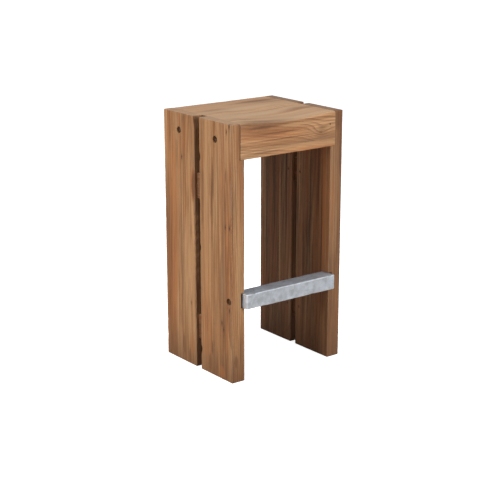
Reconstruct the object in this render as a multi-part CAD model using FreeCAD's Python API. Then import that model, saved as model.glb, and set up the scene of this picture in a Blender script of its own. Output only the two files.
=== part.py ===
import FreeCAD, Part
import math
import os

from FreeCAD import Vector

# Bar stool with a footrest, built from thick reclaimed planks.
#
# Each side is two upright planks with a narrow gap between them, tied by two
# pegged loose tenons.  Two solid seat beams lie side by side and sit in a
# rebate at the top of the planks.  The footrest is a wooden bar wrapped in
# galvanised sheet: its ends sit in notches in the two front planks, a little
# short of the notches' end walls.  Coach screws in counterbored holes hold the
# beams and the footrest.
#
# Millimetres.  +X is the sitter's right, -Y is the front, +Z is up.  The
# origin is on the floor, at the centre of the overall box.

# Driving dimensions --------------------------------------------------------

WIDTH = 380.0
DEPTH = 330.0
HEIGHT = 710.0

PLANK_THICKNESS = 43.0
PLANK_GAP = 21.5
REBATE_DEPTH = 16.0           # how far a seat beam's end enters a plank
EASED_EDGE = 2.0              # rounding on the long edges of every timber

SEAT_THICKNESS = 96.5
SEAT_PROUD = 2.0              # the seat's front stands proud of the planks
SCOOP_DEPTH = 9.0             # at the seat's front edge
SCOOP_HALF_WIDTH = 140.0      # at the seat's front edge
SCOOP_BACK_MARGIN = 40.0      # flat strip left along the seat's back edge

FOOTREST_PROUD = 18.5         # the footrest's front stands proud of the planks
FOOTREST_DEPTH = 47.5
FOOTREST_HEIGHT = 41.5
FOOTREST_BOTTOM = 209.0
NOTCH_DEPTH = 13.0            # from a plank's inner face to the notch's end wall
NOTCH_END_GAP = 6.0           # left between that wall and the footrest's end
NOTCH_HEAD_GAP = 1.5          # left above the footrest
SHEET_THICKNESS = 1.5
SHEET_BEND_RADIUS = 2.5
SHEET_SEAM_WIDTH = 1.0

TENON_THICKNESS = 25.0
TENON_HEIGHT = 70.0
TENON_ENTRY = 40.0            # how far a loose tenon enters each plank
TENON_CENTRES = {"upper": 520.0, "lower": 118.0}
PEG_DIAMETER = 8.0
PEG_INSET = 15.5              # from the plank's gap face to the peg
PEG_LENGTH = 36.0

DOWEL_DIAMETER = 12.0
DOWEL_LENGTH = 60.0
DOWEL_PITCH = 100.0
DOWEL_HEIGHT = 655.0

SCREW_DIAMETER = 8.0          # M8 coach screw
SCREW_LENGTH = 90.0
SCREW_SHANK = 32.0            # plain length under the head
SCREW_ROOT_DIAMETER = 5.6
SCREW_PITCH = 3.6
SCREW_POINT = 8.0
HEAD_ACROSS_FLATS = 13.0
HEAD_HEIGHT = 5.5
HEAD_CHAMFER = 1.0
WASHER_DIAMETER = 16.0
WASHER_BORE = 8.4
WASHER_THICKNESS = 1.6
CLEARANCE_DIAMETER = 8.6
COUNTERBORE_DIAMETER = 19.0
COUNTERBORE_DEPTH = 12.0

TACK_COUNT = 7
TACK_HEAD_DIAMETER = 5.0
TACK_HEAD_HEIGHT = 0.8
TACK_SHANK_DIAMETER = 1.8
TACK_LENGTH = 14.0
TACK_SEAM_OFFSET = 6.0

# Derived places ------------------------------------------------------------

OUTER_X = WIDTH / 2
INNER_X = OUTER_X - PLANK_THICKNESS
SEAT_END_X = INNER_X + REBATE_DEPTH
NOTCH_X = INNER_X + NOTCH_DEPTH
FOOTREST_END_X = NOTCH_X - NOTCH_END_GAP
FRONT_Y = -DEPTH / 2                          # the footrest's front face
BACK_Y = DEPTH / 2
PLANK_FRONT_Y = FRONT_Y + FOOTREST_PROUD
PLANK_WIDTH = (BACK_Y - PLANK_FRONT_Y - PLANK_GAP) / 2
GAP_FRONT_Y = PLANK_FRONT_Y + PLANK_WIDTH
GAP_REAR_Y = GAP_FRONT_Y + PLANK_GAP
MIDDLE_Y = GAP_FRONT_Y + PLANK_GAP / 2
PLANK_ROWS = {"front": (PLANK_FRONT_Y, GAP_FRONT_Y), "rear": (GAP_REAR_Y, BACK_Y)}

SEAT_BOTTOM = HEIGHT - SEAT_THICKNESS
SEAT_FRONT_Y = PLANK_FRONT_Y - SEAT_PROUD
SEAT_SCREW_Z = SEAT_BOTTOM + SEAT_THICKNESS / 2

FOOTREST_BACK_Y = FRONT_Y + FOOTREST_DEPTH
FOOTREST_TOP = FOOTREST_BOTTOM + FOOTREST_HEIGHT
FOOTREST_MIDDLE_Y = FRONT_Y + FOOTREST_DEPTH / 2
FOOTREST_SCREW_Y = (PLANK_FRONT_Y + FOOTREST_BACK_Y) / 2     # middle of the housed part
FOOTREST_SCREW_Z = FOOTREST_BOTTOM + FOOTREST_HEIGHT / 2

WASHER_X = OUTER_X - COUNTERBORE_DEPTH         # floor of the counterbores
HEAD_X = WASHER_X + WASHER_THICKNESS           # under the screws' heads
SIDES = {"left": -1, "right": 1}
MARGIN = 1.0                                  # cutters run past the faces


# Shape helpers -------------------------------------------------------------

def block(x0, x1, y0, y1, z0, z1):
    """A box between two corners, given in any order along X."""
    low_x = min(x0, x1)
    return Part.makeBox(abs(x1 - x0), y1 - y0, z1 - z0, Vector(low_x, y0, z0))


def long_edges(shape, axis):
    """The straight edges of a box that run along one axis."""
    found = []
    for edge in shape.Edges:
        start, end = edge.Vertexes[0].Point, edge.Vertexes[1].Point
        if (end - start).normalize().isEqual(axis, 1e-6):
            found.append(edge)
        elif (start - end).normalize().isEqual(axis, 1e-6):
            found.append(edge)
    return found


def eased_block(x0, x1, y0, y1, z0, z1, axis):
    """A timber: a box with its long edges rounded a little."""
    timber = block(x0, x1, y0, y1, z0, z1)
    return timber.makeFillet(EASED_EDGE, long_edges(timber, axis))


def rod_x(radius, x0, x1, y, z):
    """A round rod along X, from x0 to x1."""
    direction = Vector(1 if x1 > x0 else -1, 0, 0)
    return Part.makeCylinder(radius, abs(x1 - x0), Vector(x0, y, z), direction)


def export(shapes, name):
    """Write one node: a single solid, or a group of like solids."""
    shape = shapes[0] if len(shapes) == 1 else Part.makeCompound(shapes)
    for solid in shape.Solids:
        if not solid.isValid():
            raise RuntimeError("bad solid in " + name)
    shape.exportStep(os.path.join("parts", name + ".step"))


# Holes and joints ----------------------------------------------------------

def screw_hole(side, y, z):
    """Counterbore and clearance hole through a plank, cut from outside."""
    bore = rod_x(COUNTERBORE_DIAMETER / 2, side * (OUTER_X + MARGIN), side * WASHER_X, y, z)
    clearance = rod_x(CLEARANCE_DIAMETER / 2, side * OUTER_X, side * (INNER_X - MARGIN), y, z)
    return bore.fuse(clearance)


def pilot_hole(side, end_x, y, z):
    """The hole that a coach screw's thread fills in the end of a timber."""
    tip_x = HEAD_X - SCREW_LENGTH
    return rod_x(SCREW_DIAMETER / 2, side * (end_x + MARGIN), side * tip_x, y, z)


def peg_places():
    """Where the pegs stand along Y: one each side of the gap."""
    return [GAP_FRONT_Y - PEG_INSET, GAP_REAR_Y + PEG_INSET]


def peg(side, y, z):
    return rod_x(PEG_DIAMETER / 2, side * INNER_X, side * (INNER_X + PEG_LENGTH), y, z)


def tenon_block(side, centre_z):
    """The loose tenon that bridges the gap, also the cutter of its mortises."""
    middle_x = (INNER_X + OUTER_X) / 2
    return block(
        side * (middle_x - TENON_THICKNESS / 2),
        side * (middle_x + TENON_THICKNESS / 2),
        GAP_FRONT_Y - TENON_ENTRY,
        GAP_REAR_Y + TENON_ENTRY,
        centre_z - TENON_HEIGHT / 2,
        centre_z + TENON_HEIGHT / 2,
    )


# Timbers -------------------------------------------------------------------

def leg_plank(side, row):
    """One upright plank: seat rebate, footrest notch, mortises and holes."""
    y0, y1 = PLANK_ROWS[row]
    middle_y = (y0 + y1) / 2
    plank = eased_block(side * INNER_X, side * OUTER_X, y0, y1, 0, HEIGHT, Vector(0, 0, 1))
    plank = plank.cut(block(
        side * (INNER_X - MARGIN), side * SEAT_END_X,
        y0 - MARGIN, y1 + MARGIN, SEAT_BOTTOM, HEIGHT + MARGIN,
    ))
    plank = plank.cut(screw_hole(side, middle_y, SEAT_SCREW_Z))
    if row == "front":
        plank = plank.cut(block(
            side * (INNER_X - MARGIN), side * NOTCH_X,
            y0 - MARGIN, FOOTREST_BACK_Y, FOOTREST_BOTTOM, FOOTREST_TOP + NOTCH_HEAD_GAP,
        ))
        plank = plank.cut(screw_hole(side, FOOTREST_SCREW_Y, FOOTREST_SCREW_Z))
    for centre_z in TENON_CENTRES.values():
        plank = plank.cut(tenon_block(side, centre_z))
        for y in peg_places():
            if y0 < y < y1:
                plank = plank.cut(peg(side, y, centre_z))
    return plank


def loose_tenon(side, centre_z):
    """A tenon with the two holes that its pegs fill."""
    tenon = tenon_block(side, centre_z)
    for y in peg_places():
        tenon = tenon.cut(peg(side, y, centre_z))
    return tenon


def scoop_cutter():
    """A large cylinder, tipped forward, that hollows the seat's top."""
    radius = (SCOOP_HALF_WIDTH ** 2 + SCOOP_DEPTH ** 2) / (2 * SCOOP_DEPTH)
    run = BACK_Y - SCOOP_BACK_MARGIN - SEAT_FRONT_Y
    slope = SCOOP_DEPTH / run
    start = SEAT_FRONT_Y - DEPTH
    start_z = HEIGHT - SCOOP_DEPTH - slope * DEPTH + radius
    direction = Vector(0, 1, slope)
    return Part.makeCylinder(radius, 3 * DEPTH, Vector(0, start, start_z), direction)


def dowel_places():
    return [-DOWEL_PITCH, 0.0, DOWEL_PITCH]


def dowel(x):
    """A dowel along Y, half in each seat beam."""
    start = Vector(x, MIDDLE_Y - DOWEL_LENGTH / 2, DOWEL_HEIGHT)
    return Part.makeCylinder(DOWEL_DIAMETER / 2, DOWEL_LENGTH, start, Vector(0, 1, 0))


def seat_beam(row):
    """One of the two beams that make the seat."""
    y0, y1 = (SEAT_FRONT_Y, MIDDLE_Y) if row == "front" else (MIDDLE_Y, BACK_Y)
    screw_y = sum(PLANK_ROWS[row]) / 2
    beam = eased_block(-SEAT_END_X, SEAT_END_X, y0, y1, SEAT_BOTTOM, HEIGHT, Vector(1, 0, 0))
    beam = beam.cut(scoop_cutter())
    for x in dowel_places():
        beam = beam.cut(dowel(x))
    for side in SIDES.values():
        beam = beam.cut(pilot_hole(side, SEAT_END_X, screw_y, SEAT_SCREW_Z))
    return beam


# Footrest ------------------------------------------------------------------

def rounded_bar(inset, radius):
    """A bar along X on the footrest's outline, brought in by inset."""
    bar = block(
        inset - FOOTREST_END_X, FOOTREST_END_X - inset,
        FRONT_Y + inset, FOOTREST_BACK_Y - inset,
        FOOTREST_BOTTOM + inset, FOOTREST_TOP - inset,
    )
    return bar.makeFillet(radius, long_edges(bar, Vector(1, 0, 0)))


def tack_places():
    """Tacks stand in turn on one side of the seam and on the other."""
    step = 2 * INNER_X / (TACK_COUNT + 1)
    places = []
    for index in range(TACK_COUNT):
        x = -INNER_X + step * (index + 1)
        offset = TACK_SEAM_OFFSET if index % 2 else -TACK_SEAM_OFFSET
        places.append((x, FOOTREST_MIDDLE_Y + offset))
    return places


def tack(x, y):
    """A flat-headed tack driven up through the sheet into the core."""
    head_base = Vector(x, y, FOOTREST_BOTTOM - TACK_HEAD_HEIGHT)
    head = Part.makeCylinder(TACK_HEAD_DIAMETER / 2, TACK_HEAD_HEIGHT, head_base)
    shank = Part.makeCylinder(TACK_SHANK_DIAMETER / 2, TACK_LENGTH, head_base)
    return head.fuse(shank).removeSplitter()


def footrest_core():
    """The timber bar that the sheet is wrapped round."""
    core = rounded_bar(SHEET_THICKNESS, SHEET_BEND_RADIUS - SHEET_THICKNESS)
    for side in SIDES.values():
        core = core.cut(pilot_hole(side, FOOTREST_END_X, FOOTREST_SCREW_Y, FOOTREST_SCREW_Z))
    for x, y in tack_places():
        core = core.cut(tack(x, y))
    return core


def footrest_sleeve():
    """Sheet folded round the core and over its ends, its edges meeting underneath."""
    outer = rounded_bar(0.0, SHEET_BEND_RADIUS)
    inner = rounded_bar(SHEET_THICKNESS, SHEET_BEND_RADIUS - SHEET_THICKNESS)
    sleeve = outer.cut(inner)
    sleeve = sleeve.cut(block(
        -INNER_X, INNER_X,
        FOOTREST_MIDDLE_Y - SHEET_SEAM_WIDTH / 2, FOOTREST_MIDDLE_Y + SHEET_SEAM_WIDTH / 2,
        FOOTREST_BOTTOM - MARGIN, FOOTREST_BOTTOM + SHEET_THICKNESS,
    ))
    sleeve = sleeve.cut(rod_x(
        CLEARANCE_DIAMETER / 2, -OUTER_X, OUTER_X, FOOTREST_SCREW_Y, FOOTREST_SCREW_Z,
    ))
    for x, y in tack_places():
        sleeve = sleeve.cut(tack(x, y))
    return sleeve


# Fasteners -----------------------------------------------------------------

def thread_outline():
    """Half section of the thread, drawn as parallel ridges, then the point."""
    crest = SCREW_DIAMETER / 2
    root = SCREW_ROOT_DIAMETER / 2
    ridges = int((SCREW_LENGTH - SCREW_SHANK - SCREW_POINT) / SCREW_PITCH)
    points = [Vector(SCREW_SHANK, 0, crest)]
    for index in range(ridges):
        x = SCREW_SHANK + SCREW_PITCH * index
        points.append(Vector(x + SCREW_PITCH / 2, 0, root))
        points.append(Vector(x + SCREW_PITCH, 0, crest))
    points.append(Vector(SCREW_LENGTH - SCREW_POINT, 0, root))
    points.append(Vector(SCREW_LENGTH, 0, 0))
    return points


def hex_head():
    """A hexagonal head standing along -X from the origin, its top corners chamfered."""
    corner = HEAD_ACROSS_FLATS / 2 / math.cos(math.radians(30))
    ring = []
    for step in range(7):
        turn = math.radians(60 * step)
        ring.append(Vector(0, corner * math.cos(turn), corner * math.sin(turn)))
    prism = Part.Face(Part.makePolygon(ring)).extrude(Vector(-HEAD_HEIGHT, 0, 0))
    rounder = Part.makeCylinder(corner, HEAD_HEIGHT, Vector(0, 0, 0), Vector(-1, 0, 0))
    top_rim = [edge for edge in rounder.Edges if edge.CenterOfMass.x < -HEAD_HEIGHT * 0.9]
    return prism.common(rounder.makeChamfer(HEAD_CHAMFER, top_rim))


def coach_screw():
    """A coach screw along +X, the underside of its head at the origin."""
    outline = [Vector(0, 0, 0), Vector(0, 0, SCREW_DIAMETER / 2)]
    outline += thread_outline()
    outline.append(outline[0])
    profile = Part.Face(Part.makePolygon(outline))
    body = profile.revolve(Vector(0, 0, 0), Vector(1, 0, 0), 360)
    return body.fuse(hex_head()).removeSplitter()


def placed_screw(side, y, z):
    """A coach screw driven inwards through the plank on one side."""
    screw = coach_screw()
    if side > 0:
        screw.rotate(Vector(0, 0, 0), Vector(0, 0, 1), 180)
    screw.translate(Vector(side * HEAD_X, y, z))
    return screw


def washer(side, y, z):
    """A plain washer on the floor of a counterbore."""
    ring = rod_x(WASHER_DIAMETER / 2, side * WASHER_X, side * HEAD_X, y, z)
    hole = rod_x(WASHER_BORE / 2, side * (WASHER_X - MARGIN), side * (HEAD_X + MARGIN), y, z)
    return ring.cut(hole)


def seat_screw_places():
    return [(sum(rows) / 2, SEAT_SCREW_Z) for rows in PLANK_ROWS.values()]


# Nodes ---------------------------------------------------------------------

def main():
    os.makedirs("parts", exist_ok=True)
    for row in PLANK_ROWS:
        export([seat_beam(row)], "seat_beam_" + row)
    export([dowel(x) for x in dowel_places()], "seat_dowels")
    export([footrest_core()], "footrest_core")
    export([footrest_sleeve()], "footrest_sleeve")
    export([tack(x, y) for x, y in tack_places()], "footrest_tacks")

    for name, side in SIDES.items():
        for row in PLANK_ROWS:
            export([leg_plank(side, row)], "leg_" + row + "_" + name)
        for level, centre_z in TENON_CENTRES.items():
            export([loose_tenon(side, centre_z)], "tenon_" + level + "_" + name)
            pegs = [peg(side, y, centre_z) for y in peg_places()]
            export(pegs, "pegs_" + level + "_" + name)
        places = seat_screw_places()
        export([placed_screw(side, y, z) for y, z in places], "seat_screws_" + name)
        export([washer(side, y, z) for y, z in places], "seat_washers_" + name)
        place = (FOOTREST_SCREW_Y, FOOTREST_SCREW_Z)
        export([placed_screw(side, *place)], "footrest_screw_" + name)
        export([washer(side, *place)], "footrest_washer_" + name)


main()
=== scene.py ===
import math

import bmesh
import bpy
import numpy as np
from mathutils import Matrix, Vector, noise


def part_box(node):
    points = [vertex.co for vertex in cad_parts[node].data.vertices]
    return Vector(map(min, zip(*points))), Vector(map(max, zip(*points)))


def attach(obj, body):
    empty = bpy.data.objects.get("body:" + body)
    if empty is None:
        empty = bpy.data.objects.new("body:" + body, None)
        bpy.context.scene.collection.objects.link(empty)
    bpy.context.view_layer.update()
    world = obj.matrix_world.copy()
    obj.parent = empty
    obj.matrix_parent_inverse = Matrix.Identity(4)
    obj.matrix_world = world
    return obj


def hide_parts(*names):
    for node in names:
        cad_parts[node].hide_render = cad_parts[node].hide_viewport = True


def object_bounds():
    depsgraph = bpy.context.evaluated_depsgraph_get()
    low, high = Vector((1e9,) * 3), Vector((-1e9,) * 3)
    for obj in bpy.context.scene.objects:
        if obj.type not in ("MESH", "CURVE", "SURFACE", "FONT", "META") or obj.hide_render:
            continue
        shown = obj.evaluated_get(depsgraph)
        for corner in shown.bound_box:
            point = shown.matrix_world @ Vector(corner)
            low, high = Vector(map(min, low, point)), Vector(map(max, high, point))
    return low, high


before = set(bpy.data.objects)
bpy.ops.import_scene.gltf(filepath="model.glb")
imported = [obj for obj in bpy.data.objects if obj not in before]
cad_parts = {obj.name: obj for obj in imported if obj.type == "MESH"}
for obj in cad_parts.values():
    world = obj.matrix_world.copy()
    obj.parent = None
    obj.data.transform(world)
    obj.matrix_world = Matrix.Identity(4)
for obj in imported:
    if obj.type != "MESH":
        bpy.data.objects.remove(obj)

bl_info = {
    "name": "Plank Bar Stool",
    "version": (1, 0, 0),
    "blender": (4, 5, 0),
    "location": "3D View > Sidebar > Stool",
    "description": "Builds the timber, sheet and fasteners of a plank bar stool round its packed frame",
    "category": "Object",
}

# All sizes are in metres.  +X is the sitter's right, -Y the front, +Z up.
# Places come from the frame's nodes; the values below are what the nodes
# don't say: roundings, wear, grain, colours and the studio.

MM = 0.001
CAD_BOX = [list(corner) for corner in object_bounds()]
BODY = "root"
X, Y, Z = 0, 1, 2
SIDES = {"left": -1, "right": 1}
ROWS = ("front", "rear")
LEVELS = ("upper", "lower")
OVERRUN = 2 * MM              # how far a drill starts outside a face


# Settings ------------------------------------------------------------------

def length(name, description, default):
    return bpy.props.FloatProperty(
        name=name, description=description, default=default, subtype="DISTANCE", unit="LENGTH")


def colour(name, description, default):
    return bpy.props.FloatVectorProperty(
        name=name, description=description, default=(*default, 1), size=4,
        min=0.0, max=1.0, subtype="COLOR")


def strength(name, description, default, unit="NONE"):
    return bpy.props.FloatProperty(name=name, description=description, default=default, min=0.0, unit=unit)


class StoolTimber(bpy.types.PropertyGroup):
    """Sizes of the timbers' surfaces."""

    edge_radius: length("Edge radius", "Rounding of a timber's long edges", 2.2 * MM)
    seat_front_radius: length("Seat front radius", "Rounding of the seat's front top edge", 7.0 * MM)
    joint_radius: length("Joint radius", "Rounding where the two seat beams meet", 1.2 * MM)
    wave_depth: length("Wave depth", "How deep the planed faces wander", 0.3 * MM)
    wave_length: length("Wave length", "Distance between the hollows of a planed face", 90 * MM)
    chip_depth: length("Chip depth", "Deepest chip on a worn edge", 1.3 * MM)
    station_step: length("Station step", "Spacing of the rings along a timber", 4 * MM)
    scoop_depth: length("Scoop depth", "Depth of the seat's hollow at the front edge", 9 * MM)
    scoop_half_width: length("Scoop half width", "Half the hollow's width at the front edge", 140 * MM)
    scoop_back_margin: length("Scoop margin", "Flat strip left along the back edge", 40 * MM)
    ring_spacing: length("Ring spacing", "Distance between the wood's yearly rings", 6.5 * MM)


class StoolMetal(bpy.types.PropertyGroup):
    """Sizes of the sheet and the fasteners."""

    sheet: length("Sheet", "Thickness of the footrest's sheet", 1.5 * MM)
    bend_radius: length("Bend radius", "Outside radius of the sheet's folds", 2.5 * MM)
    seam_width: length("Seam width", "Gap between the sheet's edges underneath", 1.0 * MM)
    counterbore: length("Counterbore", "Diameter of the screws' counterbores", 19 * MM)
    clearance: length("Clearance", "Diameter of the screws' clearance holes", 8.6 * MM)
    screw_diameter: length("Screw diameter", "Outside diameter of the thread", 8 * MM)
    screw_root: length("Screw root", "Diameter at the bottom of the thread", 5.6 * MM)
    screw_shank: length("Screw shank", "Plain length under the head", 32 * MM)
    screw_pitch: length("Screw pitch", "Distance between the thread's turns", 3.6 * MM)
    screw_point: length("Screw point", "Length of the screw's point", 8 * MM)
    head_height: length("Head height", "Height of the hexagonal head", 5.5 * MM)
    head_across: length("Head across flats", "Size of the hexagonal head", 13 * MM)
    washer_bore: length("Washer bore", "Diameter of the washers' holes", 8.4 * MM)
    tack_head: length("Tack head", "Height of the tacks' heads", 0.8 * MM)
    tack_shank: length("Tack shank", "Diameter of the tacks' shanks", 1.8 * MM)


class StoolColours(bpy.types.PropertyGroup):
    """Colours of the finishes."""

    pale: colour("Pale wood", "Sanded, sun-bleached wood", (0.445, 0.250, 0.116))
    honey: colour("Honey wood", "The wood's main colour", (0.305, 0.145, 0.057))
    umber: colour("Umber wood", "Latewood and dark streaks", (0.120, 0.048, 0.020))
    rust: colour("Rust wood", "Warm orange streaks", (0.37, 0.136, 0.042))
    ash: colour("Ash wood", "Grey weathered streaks", (0.25, 0.165, 0.105))
    # Used on up-facing faces: wood paled by the sun, together with a painted sheen where light glances off
    # the tops.
    bleached_sheen: colour("Bleached wood", "Tops that the sun has paled", (0.43, 0.285, 0.165))
    # Used at the seat beams' ends; the gaps between planks are darkened with umber instead, as painted shade.
    grime: colour("Grime", "Dirt in the joints and the gaps", (0.060, 0.030, 0.016))
    stain: colour("Iron stain", "Round old nail holes", (0.035, 0.017, 0.010))
    zinc: colour("Zinc", "The galvanised sheet", (0.49, 0.54, 0.60))
    zinc_dull: colour("Dull zinc", "Oxidised patches of the sheet", (0.36, 0.38, 0.40))
    # Also mixed in along the folds, as rubbed zinc and a painted highlight.
    zinc_bright_glint: colour("Bright zinc", "Rubbed folds of the sheet", (0.72, 0.76, 0.80))
    steel: colour("Steel", "Darkened screws and washers", (0.060, 0.042, 0.030))
    steel_rust: colour("Steel rust", "Brown patina on the screws", (0.16, 0.075, 0.032))
    floor: colour("Floor", "The studio floor", (0.90, 0.90, 0.89))
    floor_bounce: colour("Floor bounce", "What the floor throws back at the stool", (0.42, 0.38, 0.34))


class StoolStudio(bpy.types.PropertyGroup):
    """The camera and the lights."""

    azimuth: bpy.props.FloatProperty(
        name="Azimuth", description="Camera's turn about the stool",
        default=math.radians(-37.4), subtype="ANGLE")
    elevation: bpy.props.FloatProperty(
        name="Elevation", description="Camera's height above the horizon",
        default=math.radians(16.0), subtype="ANGLE")
    distance: length("Distance", "From the camera to the stool's middle", 3.646)
    focal: bpy.props.FloatProperty(
        name="Focal length", description="Lens, in millimetres on a 36 mm sensor",
        default=93.6, subtype="DISTANCE_CAMERA")
    slide_right: length("Slide right", "How far the camera is moved to its right", -14 * MM)
    slide_up: length("Slide up", "How far the camera is moved up its own axis", -42 * MM)
    left_power: strength("Left light", "Power of the soft light on the left", 81, "POWER")
    front_power: strength("Front light", "Power of the soft light in front", 78, "POWER")
    top_power: strength("Top light", "Power of the soft light overhead", 50, "POWER")
    ambient: strength("Ambient", "Strength of the light from all round", 0.31)
    floor_glow: strength("Floor glow", "Lift that keeps the floor pale in the picture", 0.80)


GROUPS = {
    "stool_timber": StoolTimber,
    "stool_metal": StoolMetal,
    "stool_colours": StoolColours,
    "stool_studio": StoolStudio,
}


def settings(name):
    return getattr(bpy.context.scene, "stool_" + name)


# Frame places --------------------------------------------------------------

def span(node):
    """A node's box as two arrays, lowest and highest corner."""
    low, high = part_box(node)
    return np.array(low), np.array(high)


def rods_in(node, count):
    """Ends and radius of the round pieces along X that a node holds, side by side along Y."""
    low, high = span(node)
    radius = (high[Z] - low[Z]) / 2
    rods = []
    for y in np.linspace(low[Y] + radius, high[Y] - radius, count):
        if count == 1:
            y = (low[Y] + high[Y]) / 2
        start = np.array((low[X], y, low[Z] + radius))
        rods.append((start, start + (high[X] - low[X], 0, 0), radius))
    return rods


def washers(side):
    """The places of the washers on one side: the seat's two, then the footrest's one."""
    return rods_in("seat_washers_" + side, 2) + rods_in("footrest_washer_" + side, 1)


# Meshes --------------------------------------------------------------------

def put_in_scene(thing):
    bpy.context.scene.collection.objects.link(thing)


def new_piece(name, points, faces):
    mesh = bpy.data.meshes.new(name)
    mesh.from_pydata([tuple(point) for point in points], [], faces)
    mesh.validate()
    piece = bpy.data.objects.new(name, mesh)
    put_in_scene(piece)
    return piece


def discard(piece):
    mesh = piece.data
    bpy.data.objects.remove(piece)
    bpy.data.meshes.remove(mesh)


def bake(piece):
    """Applies a piece's modifiers and removes them."""
    depsgraph = bpy.context.evaluated_depsgraph_get()
    mesh = bpy.data.meshes.new_from_object(piece.evaluated_get(depsgraph))
    old = piece.data
    piece.modifiers.clear()
    piece.data = mesh
    bpy.data.meshes.remove(old)
    mesh.name = piece.name


def cut(piece, cutter):
    """Takes a cutter out of a piece and throws the cutter away."""
    before = len(piece.data.polygons)
    modifier = piece.modifiers.new("cut", "BOOLEAN")
    modifier.operation = "DIFFERENCE"
    modifier.solver = "MANIFOLD"
    modifier.object = cutter
    bake(piece)
    discard(cutter)
    if len(piece.data.polygons) < before // 2:
        raise RuntimeError("cutting " + piece.name + " went wrong")


def smooth(piece, limit=math.radians(38)):
    """Splits faces of many sides, and shades smooth but for edges sharper than the limit."""
    mesh = bmesh.new()
    mesh.from_mesh(piece.data)
    bmesh.ops.remove_doubles(mesh, verts=mesh.verts, dist=1e-6)
    bmesh.ops.triangulate(mesh, faces=[face for face in mesh.faces if len(face.verts) > 4])
    for face in mesh.faces:
        face.smooth = True
    for edge in mesh.edges:
        edge.smooth = len(edge.link_faces) == 2 and edge.calc_face_angle(0) < limit
    mesh.to_mesh(piece.data)
    mesh.free()


def finish_piece(piece, material, slot, *nodes):
    """Gives a piece its material and its body, and hides the nodes that it stands for."""
    smooth(piece)
    piece.data.materials.clear()
    piece.data.materials.append(material)
    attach(piece, BODY)
    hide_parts(*nodes)


class Cutter:
    """Boxes and rods collected in one mesh that is taken out of a piece."""

    def __init__(self, name):
        self.name = name
        self.mesh = bmesh.new()

    def box(self, low, high, turn=Matrix.Identity(4)):
        low, high = Vector(low), Vector(high)
        size = Matrix.Diagonal((*(high - low), 1))
        bmesh.ops.create_cube(
            self.mesh, size=1.0, matrix=Matrix.Translation((low + high) / 2) @ turn @ size)

    def rod(self, start, end, radius, end_radius=None, segments=40):
        start, end = Vector(start), Vector(end)
        turn = (end - start).to_track_quat("Z", "Y").to_matrix().to_4x4()
        bmesh.ops.create_cone(
            self.mesh, cap_ends=True, segments=segments, radius1=radius,
            radius2=end_radius or radius, depth=(end - start).length,
            matrix=Matrix.Translation((start + end) / 2) @ turn)

    def take_from(self, piece):
        if not self.mesh.faces:
            return
        mesh = bpy.data.meshes.new(self.name)
        self.mesh.to_mesh(mesh)
        self.mesh.free()
        cutter = bpy.data.objects.new(self.name, mesh)
        put_in_scene(cutter)
        cut(piece, cutter)


# Lofted bars ---------------------------------------------------------------

ARC_ANGLES = [math.pi / 8 * step for step in (1, 2, 3)]
END_ANGLES = [math.pi / 8 * step for step in range(4)]
END_SHARE = 0.75              # a bar's ends are rounded less than its long edges


def side_stops(start, end, count):
    """Places along a straight side, closer together near its two ends."""
    turns = np.pi * np.arange(count + 1) / count
    return start + (end - start) * (0.5 - 0.5 * np.cos(turns))


def section(width, depth, radii, counts):
    """Points round a bar's section, their outward normals and distances from a corner."""
    sides = (
        ((0, 0), (1, 0), (0, -1), width, counts[0]),
        ((width, 0), (0, 1), (1, 0), depth, counts[1]),
        ((width, depth), (-1, 0), (0, 1), width, counts[0]),
        ((0, depth), (0, -1), (-1, 0), depth, counts[1]),
    )
    places, normals, reach = [], [], []
    for index, (start, along, out, run, count) in enumerate(sides):
        start, along, out = np.array(start, float), np.array(along, float), np.array(out, float)
        first, last = radii[index], radii[(index + 1) % 4]
        for stop in side_stops(first, run - last, count):
            places.append(start + along * stop)
            normals.append(out)
            reach.append(min(stop - first, run - last - stop))
        centre = start + along * (run - last) - out * last
        for angle in ARC_ANGLES:
            normal = out * math.cos(angle) + along * math.sin(angle)
            places.append(centre + normal * last)
            normals.append(normal)
            reach.append(0.0)
    return places, normals, reach


def stations(run, radius, step):
    """Places along a bar, and how far each ring is drawn in to round the ends."""
    near = [(radius * (1 - math.cos(a)), radius * (1 - math.sin(a))) for a in END_ANGLES]
    count = max(2, round((run - 2 * radius) / step))
    middle = [(place, 0.0) for place in np.linspace(radius, run - radius, count + 1)]
    far = [(run - place, inset) for place, inset in reversed(near)]
    return near + middle + far


def bar(name, low, high, axis, radii, counts, step, surface):
    """A rounded bar along an axis; surface moves each point, given its outward normal
    and its distances from the long edges and from the ends."""
    u, v = (axis + 1) % 3, (axis + 2) % 3
    extent = high - low
    places, normals, reach = section(extent[u], extent[v], radii, counts)
    points = []
    for station, inset in stations(extent[axis], min(radii) * END_SHARE, step):
        end_reach = min(station, extent[axis] - station)
        for place, normal, side_reach in zip(places, normals, reach):
            point, out = np.empty(3), np.zeros(3)
            point[u], point[v] = place - normal * inset
            point[axis] = station
            out[u], out[v] = normal
            points.append(surface(point + low, out, side_reach, end_reach))
    ring = len(places)
    faces = [tuple(reversed(range(ring)))]
    for first in range(0, len(points) - ring, ring):
        for index in range(ring):
            after = (index + 1) % ring
            faces.append((first + index, first + after, first + ring + after, first + ring + index))
    faces.append(tuple(range(len(points) - ring, len(points))))
    return new_piece(name, points, faces)


def dented(point, dents):
    """Moves a point by the hollows that lie near it: centre, reach, push."""
    for centre, reach, push in dents:
        offset = (point - centre) / reach
        share = 1.0 - float(offset @ offset)
        if share > 0:
            point = point + np.array(push) * share ** 1.5
    return point


WEAR_REACH = 5 * MM           # how far the rubbed colour spreads from an edge


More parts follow.
